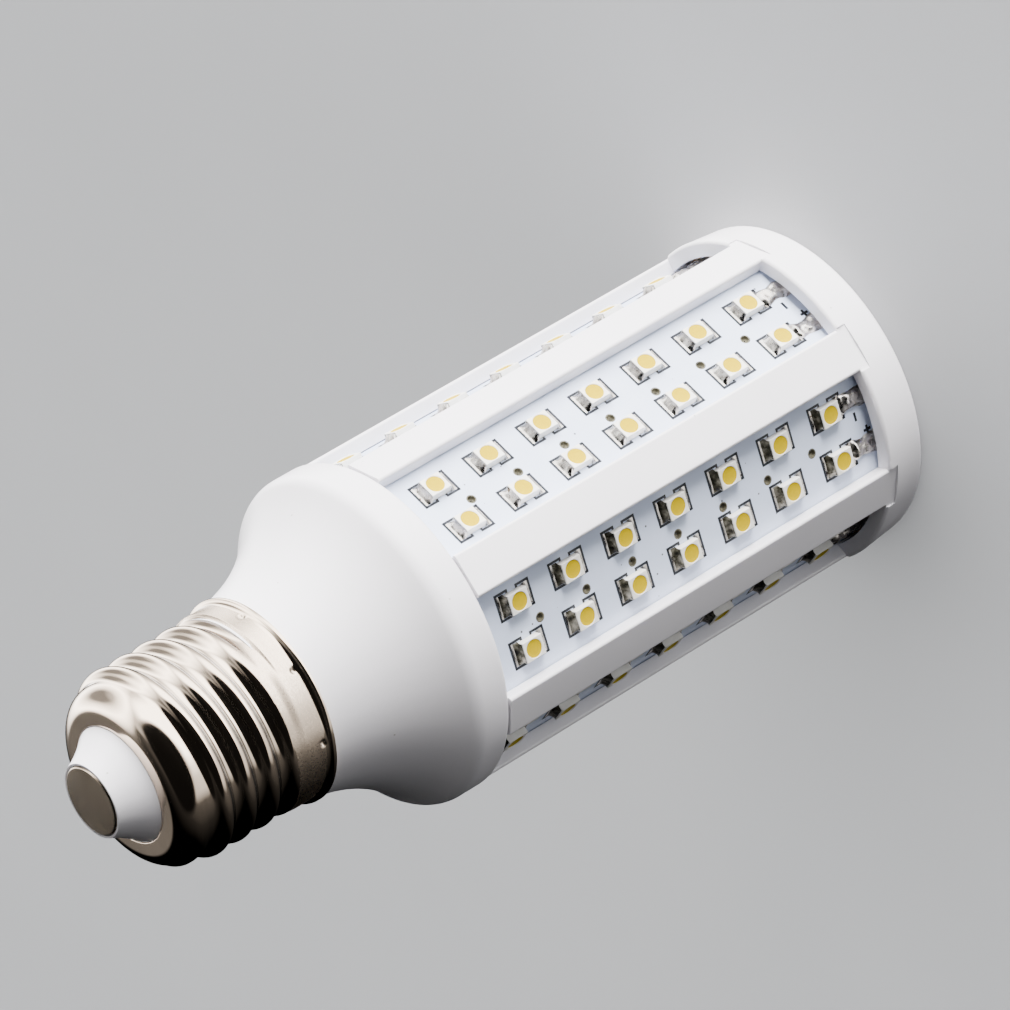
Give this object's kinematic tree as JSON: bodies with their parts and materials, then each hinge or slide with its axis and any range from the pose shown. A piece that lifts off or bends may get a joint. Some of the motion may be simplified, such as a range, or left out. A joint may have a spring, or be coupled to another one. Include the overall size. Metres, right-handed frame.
{
  "type": "corn led bulb",
  "caption": "Straight LED lamp with an Edison screw cap, a white flared neck, and strips of small LEDs set in windows between the ribs of a white cage.",
  "frame": {"origin": "centre of the flat head face, on which the bulb stands", "axes": "+Z along the bulb's axis from the head to the screw cap, -Y towards the rib that faces the camera in the picture"},
  "size_m": [0.0452, 0.0451, 0.1183],
  "materials": {
    "white_plastic": "moulded white, semi-gloss",
    "nickel_plate": "rolled sheet, bright nickel plate",
    "white_insulator": "moulded white",
    "contact_metal": "dull nickel plate",
    "white_board": "white solder mask with a blue tint",
    "led_body": "cream white package",
    "phosphor": "yellow phosphor in clear resin",
    "solder": "bright solder with flux",
    "brown_board": "bare brown laminate",
    "driver_laminate": "tan laminate",
    "capacitor_coat": "dipped red-brown coat",
    "capacitor_can": "sleeved can",
    "black_package": "black moulding",
    "resistor_coat": "grey-blue lacquer",
    "wire_sleeve": "white sleeve"
  },
  "bodies": {
    "root": {"bridge_rectifier": "black_package", "bulk_capacitor": "capacitor_can", "cage": "white_plastic", "cap_lead": "wire_sleeve", "centre_contact": "contact_metal", "contact_lead": "wire_sleeve", "driver_board": "driver_laminate", "film_capacitor": "capacitor_coat", "fuse_resistor": "resistor_coat", "insulator": "white_insulator", "led_packages_1": "led_body", "led_packages_2": "led_body", "led_packages_3": "led_body", "led_packages_4": "led_body", "led_packages_5": "led_body", "led_packages_6": "led_body", "led_packages_7": "led_body", "led_phosphor_1": "phosphor", "led_phosphor_2": "phosphor", "led_phosphor_3": "phosphor", "led_phosphor_4": "phosphor", "led_phosphor_5": "phosphor", "led_phosphor_6": "phosphor", "led_phosphor_7": "phosphor", "link_board": "brown_board", "lower_housing": "white_plastic", "negative_lead": "wire_sleeve", "positive_lead": "wire_sleeve", "resistors": "resistor_coat", "screw_shell": "nickel_plate", "solder_joints": "solder", "strip_board_1": "white_board", "strip_board_2": "white_board", "strip_board_3": "white_board", "strip_board_4": "white_board", "strip_board_5": "white_board", "strip_board_6": "white_board", "strip_board_7": "white_board"}
  },
  "joints": []
}
